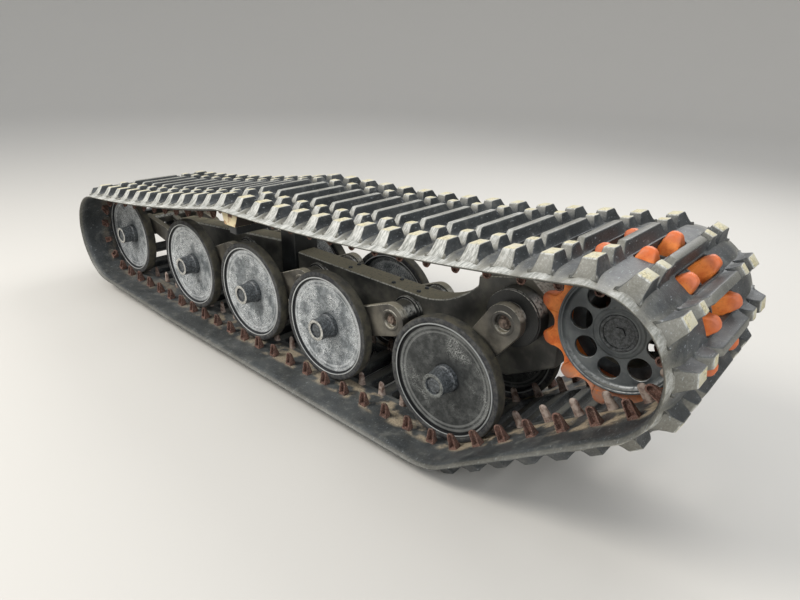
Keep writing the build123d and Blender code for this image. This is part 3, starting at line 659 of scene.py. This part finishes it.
# the turned end of the hub is all that lies further out than this
HUB_END = 210.5
cap_profile = [(0, 207), (19.5, 207), (21.5, 206.4), (22.6, 205), (24, 204.8), (24, 130), (0, 130)]
for side, outward in SIDES:
    for number, (x, z, finish) in enumerate(wheels):
        tag = side + "_" + str(number + 1)
        bm = bmesh.new()
        lathe(bm, tyre_profile, x, z, outward)
        piece("tyre_" + tag, bm, [tyre_rubber], ["tyres_" + side])
        bm = bmesh.new()
        layer = bm.verts.layers.float.new("radius_mm")
        lathe(bm, disc_profile, x, z, outward)
        for v in bm.verts:
            v[layer] = hypot(v.co.x - x, v.co.z - z)
        piece("wheel_disc_" + tag, bm, [finish], ["wheel_discs_" + side])
        bm = bmesh.new()
        lathe(bm, hub_profile, x, z, outward, 64)
        for f in bm.faces:
            f.material_index = 1 if min(abs(v.co.y) for v in f.verts) > HUB_END else 0
        end_finish = dull_steel if finish is worn_paint else bright_steel
        piece("wheel_hub_" + tag, bm, [hub_paint, end_finish], ["wheel_discs_" + side])
        bm = bmesh.new()
        lathe(bm, cap_profile, x, z, outward, 48, closed=False)
        piece("axle_cap_" + tag, bm, [hub_paint], ["stub_axles_" + side])


# Side beams: two boxes of welded steel plate, end to end, that carry the arms. The rear one tapers. The
# front one is low behind and curves up to a deep front end, and three pairs of bolts stand on its top.
BEAM_HALF = 40


def dusty_paint(name, dark, light, dust, dust_from, dust_to, edge_wear_and_highlight, metallic=0.0):
    """Paint in two tones with fine scratches, dust on what looks up, and wear and a painted highlight on
    rounded top edges.
    """
    material, shader, add, place = surface(name)
    wear, fine = [add("TexNoise", {**GRAIN, "Vector": place, "Scale": 1000 / size_mm})
                  for size_mm in (90, 8)]
    scored = add("TexNoise", {"Vector": place, "Scale": 1000 / 2.5, "Detail": 3.0, "Roughness": 0.8})
    upper = upward(add)
    settled = where(add, (upper, dust_from, dust_to), (fine, 0.22, 0.5))
    film = where(add, (wear, 0.42, 0.75), most=0.25)
    cover = add("Math", {0: settled, 1: film}, operation="MAXIMUM", use_clamp=True)
    paint = coats(add, dark,
                  (where(add, (wear, 0.35, 0.7)), light),
                  (where(add, (scored, 0.62, 0.7), most=0.35), "#7b7b76"),
                  (cover, dust),
                  # pale wear along rounded edges that look half up, which is also a painted highlight
                  (where(add, (upper, 0.25, 0.5), (upper, 0.92, 0.7), (fine, 0.3, 0.6)), edge_wear_and_highlight))
    wire(shader, {"Base Color": paint, "Roughness": add("MapRange", {0: cover, 3: 0.38, 4: 0.9}),
                  "Metallic": metallic, "Normal": add("Bump", {"Height": fine, "Distance": 0.5 / 1000})})
    return material


def spot(x, z):
    """A place measured from wheel 2's axle, as the photograph was measured."""
    return x + WHEEL_X[0], z + AXLE_Z


def prism(bm, outline, y_from, y_to):
    """An outline of (x, z) points made as thick as two places across the track are apart."""
    near = [bm.verts.new((x, y_from, z)) for x, z in outline]
    far = [bm.verts.new((x, y_to, z)) for x, z in outline]
    bm.faces.new(near)
    bm.faces.new(far[::-1])
    for i in range(len(outline)):
        j = (i + 1) % len(outline)
        bm.faces.new((near[i], near[j], far[j], far[i]))


# black paint that has greyed, with olive dust on its flat tops, and pale wear and a painted highlight along
# its upper edges
beam_paint = dusty_paint("beam_black_paint_dusty", "#3d3d3a", "#63625d", "#958e78", 0.6, 0.97, "#d2d0c4")
# the top's curve: where it starts and ends, its height at the start and its radius
DIP_START, DIP_END, LOW_TOP, DIP_R = 1116, 1322, 157, 279
front_outline = [(506, 10), (1437, 10), (1579, 89), (1579, 240), (1480, 318), (DIP_END, 278)]
climb = asin((DIP_END - DIP_START) / DIP_R)
for i in range(13):
    a = climb * (1 - i / 12)
    front_outline.append((DIP_START + DIP_R * sin(a), LOW_TOP + DIP_R * (1 - cos(a))))
front_outline.append((506, LOW_TOP))
bm = bmesh.new()
prism(bm, [spot(x, z) for x, z in front_outline], -BEAM_HALF, BEAM_HALF)
piece("side_beam_front", bm, [beam_paint], ["side_beam_front"], bevel=7)
bm = bmesh.new()
sixths = [k * pi / 3 for k in range(6)]
for at_x in (798, 994, 1098):
    for at_y in (-20, 20):
        x, z = spot(at_x, LOW_TOP - 0.5)
        # radius of the hexagon and height over the beam, from the foot to the top of the head
        loops = [[bm.verts.new((x + r * cos(a), at_y + r * sin(a), z + h)) for a in sixths]
                 for r, h in ((7.5, -1), (7.5, 4), (6.3, 5))]
        skin(bm, loops)
        bm.faces.new(loops[0])
        bm.faces.new(loops[-1])
piece("beam_top_bolts", bm, [hub_paint], ["side_beam_front"])
bm = bmesh.new()
rear_outline = [(-300, 12), (506, 40), (506, 188), (-300, 112)]
prism(bm, [spot(x, z) for x, z in rear_outline], -BEAM_HALF, BEAM_HALF)
piece("side_beam_rear", bm, [beam_paint], ["side_beam_rear"], bevel=12)


# Trailing arms: a cast steel plate from each axle to its torsion tube, with a round boss that has a
# raised ring. A bolt with a washer is sunk in the boss and holds the arm on its tube.
ARM_FACES = (103, 130)
AXLE_END_R, BOSS_R = 42, 52
BORE_R, BORE_FLOOR = 24, 116
BOLT_R, BOLT_ENDS = 13.5, (119, 129)
# x of the wheel, x and z of the pivot, radius and width of the tube's ring beside the beam
arms = [(x, x + 249, AXLE_Z + 92, 56, 8) for x in WHEEL_X[:-1]]
arms.append((WHEEL_X[-1], WHEEL_X[-1] + 148, AXLE_Z + 210, 80, 40))


def link_outline(xa, za, ra, xb, zb, rb):
    """The outline of a flat link with two round ends."""
    heading = atan2(zb - za, xb - xa)
    spread = pi / 2 + asin((rb - ra) / hypot(xb - xa, zb - za))
    points = []
    for i in range(21):
        a = heading + spread + (2 * pi - 2 * spread) * i / 20
        points.append((xa + ra * cos(a), za + ra * sin(a)))
    for i in range(21):
        a = heading - spread + 2 * spread * i / 20
        points.append((xb + rb * cos(a), zb + rb * sin(a)))
    return points


def round_outline(x, z, r, count):
    """A circle of that many points, or a hexagon of six."""
    return [(x + r * cos(2 * pi * i / count), z + r * sin(2 * pi * i / count)) for i in range(count)]


def hole_in(outline, x, z, r):
    """A round hole with a point for each point of the outline that is round it."""
    angles = [atan2(pz - z, px - x) for px, pz in outline]
    return [(x + r * cos(a), z + r * sin(a)) for a in angles]


def stack(bm, levels):
    """Joins outlines of (x, z) points, each at its place across the track, and gives their points."""
    loops = [[bm.verts.new((x, y, z)) for x, z in outline] for outline, y in levels]
    skin(bm, loops)
    return loops


# paint under caked olive dust: brown-grey and matt, paler on what looks up
arm_paint = dusty_paint("arm_paint_olive_dust", "#35332f", "#605c54", "#8a8473", 0.35, 0.95, "#b3afa3")
# bare bolts, rusted dark with paler patches
bolt_steel = mottled("bolt_steel_rusted", 9, 0.35, 0.65, "#3b3029", "#7b6a5e", 0.7)
ring_profile = [(25.5, 128), (25.5, 131.4), (27, 132.2), (30, 132.2), (33, 131), (34, 129.9), (34, 128)]
washer_profile = [(0, 115.5), (18.5, 115.5), (18.5, 118.5), (17.5, 119.5), (10, 119.5), (0, 119.5)]
for side, outward in SIDES:
    bm = bmesh.new()
    for wheel_x, x, z, ring, ring_width in arms:
        ends = link_outline(wheel_x, AXLE_Z, AXLE_END_R, x, z, BOSS_R)
        outline = []
        for (xa, za), (xb, zb) in zip(ends, ends[1:] + ends[:1]):
            parts = max(1, round(hypot(xb - xa, zb - za) / 22))
            outline += [(xa + (xb - xa) * i / parts, za + (zb - za) * i / parts) for i in range(parts)]
        bore = hole_in(outline, x, z, BORE_R)
        loops = stack(bm, [(outline, outward * ARM_FACES[0]), (outline, outward * ARM_FACES[1]),
                           (bore, outward * ARM_FACES[1]), (bore, outward * BORE_FLOOR)])
        bm.faces.new(loops[0])
        bm.faces.new(loops[-1])
    piece("trailing_arms_" + side, bm, [arm_paint], ["trailing_arms_" + side], bevel=3)
    bm = bmesh.new()
    for wheel_x, x, z, ring, ring_width in arms:
        lathe(bm, ring_profile, x, z, outward, 64)
    piece("arm_bosses_" + side, bm, [arm_paint], ["trailing_arms_" + side])
    bm = bmesh.new()
    for wheel_x, x, z, ring, ring_width in arms:
        lathe(bm, washer_profile, x, z, outward, 32, closed=False)
        prism(bm, round_outline(x, z, BOLT_R, 6), *(outward * y for y in BOLT_ENDS))
    piece("arm_bolts_" + side, bm, [bolt_steel], ["trailing_arms_" + side], bevel=1.2)


# Torsion tubes: steel tubes across the beam, each with the spring of its arm inside. Each ends in a
# double collar at the arm, and has a ring welded round it beside the beam.
TUBE_R, COLLAR_R = 46, 48
BESIDE_BEAM = 40.3
# black paint that still looks fresh: the tubes lie sheltered, so that little dust settles on them
tube_paint = dusty_paint("tube_black_paint", "#151718", "#262829", "#46433a", 0.75, 1.0, "#c9c8c0")
bm = bmesh.new()
for wheel_x, x, z, ring, ring_width in arms:
    end = BESIDE_BEAM + ring_width
    profile = [(0, 102.8), (47, 102.8), (COLLAR_R, 101.8), (COLLAR_R, 94), (TUBE_R, 92.5),
               (TUBE_R, end + 9.5), (COLLAR_R, end + 8.5), (ring - 3, end + 8), (ring - 2, end + 7),
               (ring - 2, end + 4), (ring - 5, end + 3), (ring, end + 1), (ring, 41.5),
               (ring - 1.5, BESIDE_BEAM), (0, BESIDE_BEAM)]
    for outward in (-1, 1):
        lathe(bm, profile, x, z, outward, 72, closed=False)
piece("torsion_tubes", bm, [tube_paint], ["torsion_tubes"])


# Clamp collar: a welded steel block that clasps the two beams where they meet. A stub on its inboard side
# ends in a plate with four bolt holes.
PLATE_FACES = (228, 242)
half_x, half_z = 62.0, 48.0
middle_x, middle_z = spot(506, 176)
# the bolt holes stand this far from the plate's middle
bolt_x, bolt_z = 44.0, 34.0
# points round a square from -1 to 1, eight to a side
SQUARE = [(-1 + i / 4, -1) for i in range(8)] + [(1, -1 + i / 4) for i in range(8)]
SQUARE += [(-u, -v) for u, v in SQUARE]
# black paint under grease, which holds dark dust
greasy_paint = dusty_paint("collar_black_paint_greasy", "#141617", "#25282a", "#3b3930", 0.6, 0.95,
                           "#55554f")
bm = bmesh.new()
prism(bm, [spot(x, z) for x, z in [(466, -6), (546, -6), (546, 228), (466, 228)]], -54, 54)
prism(bm, [spot(x, z) for x, z in [(476, 188), (536, 188), (536, 227), (476, 227)]], 50, 229)
piece("clamp_collar", bm, [greasy_paint], ["clamp_collar"], bevel=5)
bm = bmesh.new()
# each quarter of the plate has its hole
for side_x in (-1, 1):
    for side_z in (-1, 1):
        edge = [(middle_x + half_x * (side_x + u) / 2, middle_z + half_z * (side_z + v) / 2)
                for u, v in SQUARE]
        hole_x, hole_z = middle_x + side_x * bolt_x, middle_z + side_z * bolt_z
        mouth, hole = hole_in(edge, hole_x, hole_z, 8), hole_in(edge, hole_x, hole_z, 7)
        loops = stack(bm, [(edge, PLATE_FACES[1]), (mouth, PLATE_FACES[1]), (hole, PLATE_FACES[1] - 1),
                           (hole, PLATE_FACES[0] + 1), (mouth, PLATE_FACES[0]), (edge, PLATE_FACES[0])])
        for i in range(len(edge)):
            m = (i + 1) % len(edge)
            (ax, az), (bx, bz) = edge[i], edge[m]
            at_end = min(abs(ax - middle_x), abs(bx - middle_x)) > half_x - 0.1
            at_side = min(abs(az - middle_z), abs(bz - middle_z)) > half_z - 0.1
            if at_end or at_side:
                bm.faces.new((loops[0][i], loops[0][m], loops[-1][m], loops[-1][i]))
bmesh.ops.remove_doubles(bm, verts=bm.verts, dist=0.01)
piece("spring_bracket_plate", bm, [beam_paint], ["clamp_collar"])


# Cross bar: a flat steel bar on a short post on the collar. It reaches to both sides under the top run
# of the belt and carries a wear pad at each end.
bm = bmesh.new()
prism(bm, [spot(x, z) for x, z in [(482, 262), (522, 262), (522, 292), (482, 292)]], -272, 272)
prism(bm, [spot(x, z) for x, z in [(483, 228), (521, 228), (521, 262.5), (483, 262.5)]], -59, 59)
piece("cross_bar", bm, [greasy_paint], ["cross_bar"], bevel=4)


# Wear pads: two blocks of moulded plastic on the cross bar, with a round top that the top run of the
# belt slides on.
PAD_FACES = (217, 282)
# centre of the round top
PAD_X, PAD_Z = 508, -61.4
# cream plastic stained by rust in blotches, with a dark notch in its top and painted shade on its front end
pad_plastic, shader, add, place = surface("cream_plastic_rust_stained")
stain = add("TexNoise", {**GRAIN, "Vector": place, "Scale": 1000 / 22})
end_on = add("SeparateXYZ", {0: add("NewGeometry", output="Normal")})
along = add("SeparateXYZ", {0: place})
height = add("SeparateXYZ", {0: place}, output=2)
notch = where(add, (along, -0.101, -0.095), (along, -0.07, -0.077), (height, 0.553, 0.563))
pad = coats(add, "#cdbf9c",
            (where(add, (stain, 0.5, 0.68), most=0.8), "#8a5432"),
            (notch, "#54301d"),
            # painted shade: the faces that look forward are made dark
            (where(add, (end_on, 0.5, 0.8)), "#241c16"))
wire(shader, {"Base Color": pad, "Roughness": 0.7})
top = [(459 + 7.7 * i, PAD_Z + sqrt(PAD_R ** 2 - (459 + 7.7 * i - PAD_X) ** 2)) for i in range(13)]
outline = [spot(x, z) for x, z in [(472, 292), (532, 292)] + top[::-1]]
bm = bmesh.new()
for outward in (-1, 1):
    prism(bm, outline, *(outward * y for y in PAD_FACES))
piece("wear_pads", bm, [pad_plastic], ["wear_pads"], bevel=2)


# Idler arms: a cast steel link on each side that holds the idler's axle, with a knee where the tension
# rod pushes. Two steel tubes across, at the knee and at the pivot, join the two arms.
idler_knee, idler_pivot = spot(-425, 92), spot(-262, 62)
CROSS_TUBE_R = 22
bm = bmesh.new()
for outward in (-1, 1):
    prism(bm, link_outline(*IDLER, AXLE_END_R, *idler_knee, 30), *(outward * y for y in ARM_FACES))
    # the rear half is thinner by half a millimetre a side
    prism(bm, link_outline(*idler_knee, 29.5, *idler_pivot, 34), outward * 103.5, outward * 129.5)
piece("idler_arms", bm, [arm_paint], ["idler_arms"], bevel=4)
bm = bmesh.new()
for x, z in (idler_knee, idler_pivot):
    prism(bm, round_outline(x, z, CROSS_TUBE_R, 48), -ARM_FACES[0], ARM_FACES[0])
piece("idler_cross_tubes", bm, [beam_paint], ["idler_cross_tube", "idler_pivot_tube"],
      bevel=1)


# Sprocket rings: two rings moulded in orange plastic, one at each end of the drum. Each has twelve broad
# teeth with rounded corners, which come through the belt's slots, and round scallops between them.
TEETH = 12
# radii of the scallops' floor, the teeth's tips and the scallops themselves
ROOT_R, TIP_R, SCALLOP_R = 158, 203, 26
TOOTH_CORNER, TOOTH_LEAN = 14, 5
RING_FACES, RING_MIDDLE, RING_BORE = (57, 103), 80, 132
# the teeth grow thinner from this radius on, over this length
TAPER_START, TAPER_LENGTH = 166, 37
# orange plastic: sun-bleached in patches and scuffed brown, rubbed dull at the tips, clay low down
orange, shader, add, place = surface("orange_moulded_plastic_worn")
stain, scuffs, clods, fine = [add("TexNoise", {**GRAIN, "Vector": place, "Scale": 1000 / size_mm})
                              for size_mm in (35, 7, 9, 5)]
axle_place = (SPROCKET[0] / 1000, 0.0, SPROCKET[1] / 1000)
from_axle = add("VectorMath", {0: place, 1: axle_place}, operation="SUBTRACT")
from_axle = add("VectorMath", {0: from_axle, 1: (1.0, 0.0, 1.0)}, operation="MULTIPLY")
reach = add("VectorMath", {0: from_axle}, output="Value", operation="LENGTH")
height = add("SeparateXYZ", {0: place}, output=2)
hue = coats(add, "#cf6220",
            (where(add, (stain, 0.35, 0.65)), "#ec8a3d"),
            (where(add, (scuffs, 0.55, 0.72), most=0.5), "#8c4a2c"),
            (where(add, (reach, 0.172, 0.194), (stain, 0.3, 0.6), most=0.85), "#b25c3f"),
            (where(add, (height, 0.41, 0.34), (clods, 0.3, 0.5)), "#b3836d"))
wire(shader, {"Base Color": hue, "Roughness": 0.55,
              "Normal": add("Bump", {"Height": fine, "Distance": 0.6 / 1000})})


def tooth_outline(root, tip, scallop):
    """Twelve broad teeth with rounded corners, and a round scallop between each two."""
    middle_r = root + scallop
    gap = pi / TEETH
    side = []
    for i in range(9):
        a = pi + gap + (pi / 2 - gap) * i / 8
        side.append((middle_r * cos(gap) + scallop * cos(a), middle_r * sin(gap) + scallop * sin(a)))
    half = middle_r * sin(gap) - scallop * cos(gap) - TOOTH_LEAN
    for i in range(1, 9):
        a = pi / 2 * (1 - i / 8)
        side.append((tip - 1 - TOOTH_CORNER + TOOTH_CORNER * cos(a),
                     half - TOOTH_CORNER + TOOTH_CORNER * sin(a)))
    points = []
    for tooth in range(TEETH):
        middle = tooth_angle + tooth * 2 * pi / TEETH
        for u, v in side + [(tip, 0)] + [(u, -v) for u, v in side[:0:-1]]:
            points.append((middle - atan2(v, u), hypot(u, v)))
    return [(SPROCKET[0] + r * cos(a), SPROCKET[1] + r * sin(a)) for a, r in points]


# distance from the middle plane, and how far the teeth are rounded off there
layers = [(57, 9.0), (57.8, 6.0), (59.6, 3.2), (62.6, 1.1), (67, 0.0), (93, 0.0), (97.4, 1.1), (100.4, 3.2),
          (102.2, 6.0), (103, 9.0)]
for side, outward in SIDES:
    bm = bmesh.new()
    loops = []
    for y, off in layers:
        loop = []
        for x, z in tooth_outline(ROOT_R - off * 0.2, TIP_R - off, SCALLOP_R + off * 0.55):
            past = max(hypot(x - SPROCKET[0], z - SPROCKET[1]) - TAPER_START, 0) / TAPER_LENGTH
            thick = RING_MIDDLE + (y - RING_MIDDLE) * (1 - 0.64 * past ** 1.3)
            loop.append(bm.verts.new((x, outward * thick, z)))
        loops.append(loop)
    bore = hole_in([(v.co.x, v.co.z) for v in loops[0]], *SPROCKET, RING_BORE)
    for y in RING_FACES[::-1]:
        loops.append([bm.verts.new((x, outward * y, z)) for x, z in bore])
    skin(bm, loops + loops[:1])
    piece("sprocket_ring_" + side, bm, [orange], ["sprocket_ring_" + side], angle=40)


# Sprocket disc: a dish of steel at the outboard side only, with eight lightening holes. Its rolled rim laps
# over the bore of the outboard ring.
HOLES = 8
HOLE_R, MOUTH_R, HOLES_FROM_AXLE = 27.0, 28.2, 91
# the flat sheet reaches this far to both sides of a middle radius
SHEET_R, SHEET_HALF = 92, 31
DISC_FACES = (96, 104)
# black paint gone to cool grey, with a little bare steel shining through, dust on what looks up and a
# painted highlight on its upper edges
disc_paint = dusty_paint("sprocket_black_paint", "#3a3f42", "#6a7073", "#77756b", 0.6, 1.0, "#9a9d9d",
                         metallic=0.15)
rim = [(131.7, 96), (131.7, 103), (143.5, 103), (143.5, 111), (142.8, 114), (141, 115), (138.8, 114.6),
       (137.8, 113.2), (137, 112.6), (136, 113), (134.4, 113.3), (132.8, 112.6), (131.6, 110.4),
       (129, 106.6), (126, 104.6), (123, 104), (123, 96)]
bm = bmesh.new()
lathe(bm, rim, *SPROCKET, -1)
for k in range(HOLES):
    middle = radians(40) + k * 2 * pi / HOLES
    sector = [(middle + u * pi / HOLES, SHEET_R + SHEET_HALF * v) for u, v in SQUARE]
    edge = [(SPROCKET[0] + r * cos(a), SPROCKET[1] + r * sin(a)) for a, r in sector]
    centre = (SPROCKET[0] + HOLES_FROM_AXLE * cos(middle), SPROCKET[1] + HOLES_FROM_AXLE * sin(middle))
    hole, mouth = hole_in(edge, *centre, HOLE_R), hole_in(edge, *centre, MOUTH_R)
    loops = stack(bm, [(edge, -DISC_FACES[0]), (hole, -DISC_FACES[0]), (hole, 1 - DISC_FACES[1]),
                       (mouth, -DISC_FACES[1]), (edge, -DISC_FACES[1])])
    # each sector has a wall at its inner and its outer edge, and meets the next at its sides
    for i in list(range(8)) + list(range(16, 24)):
        bm.faces.new((loops[0][i], loops[0][i + 1], loops[-1][i + 1], loops[-1][i]))
bmesh.ops.remove_doubles(bm, verts=bm.verts, dist=0.01)
piece("sprocket_disc", bm, [disc_paint], ["sprocket_disc"])


# Sprocket hub: a turned steel boss in the middle of the disc, in the disc's paint. The cap sits inside its
# raised lip.
hub = [(0, 100), (44.3, 100), (44.3, 106.4), (45.5, 107), (49, 107), (50.5, 106), (52, 105.6), (56, 105.6),
       (58, 105), (60, 103.6), (62, 103), (62, 83), (0, 83)]
bm = bmesh.new()
lathe(bm, hub, *SPROCKET, -1, 72, closed=False)
piece("sprocket_hub", bm, [disc_paint], ["sprocket_hub"])


# Hub cap: a steel plug that screws into the hub, in satin black paint. It is dished round a raised
# hexagon for a spanner.
HEXAGON_R = 15
turns = [2 * pi * k / 48 for k in range(48)]
hexagon = [HEXAGON_R * cos(pi / 6) / cos(a % (pi / 3) - pi / 6) for a in turns]
dish = [(44, 97), (44, 105.4), (42.6, 106.6), (37, 106.6), (35, 104.2), (21, 103.6)]
levels = []
for radii, y in [([r] * len(turns), y) for r, y in dish] + [(hexagon, 103.6), (hexagon, 107)]:
    outline = [(SPROCKET[0] + r * cos(a), SPROCKET[1] + r * sin(a)) for a, r in zip(turns, radii)]
    levels.append((outline, -y))
bm = bmesh.new()
loops = stack(bm, levels)
bm.faces.new(loops[0])
bm.faces.new(loops[-1])
piece("hub_cap", bm, [hub_paint], ["hub_cap"])


# Final drive's cast housing, the steel drum between the sprocket's rings, the turned input flange and the
# tension rod. Their solids already have their full shape, so each only gets its finish.
finishes = {"final_drive_case": beam_paint, "sprocket_drum": disc_paint, "tension_rod": arm_paint}
# the flange is machined and oiled: bare, grey and shiny
finishes["input_flange"] = mottled("machined_steel_oiled", 30, 0.3, 0.7, "#565756", "#8a8b88", 0.35,
                                   metallic=0.6)
for name, finish in finishes.items():
    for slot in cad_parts[name].material_slots:
        slot.material = finish
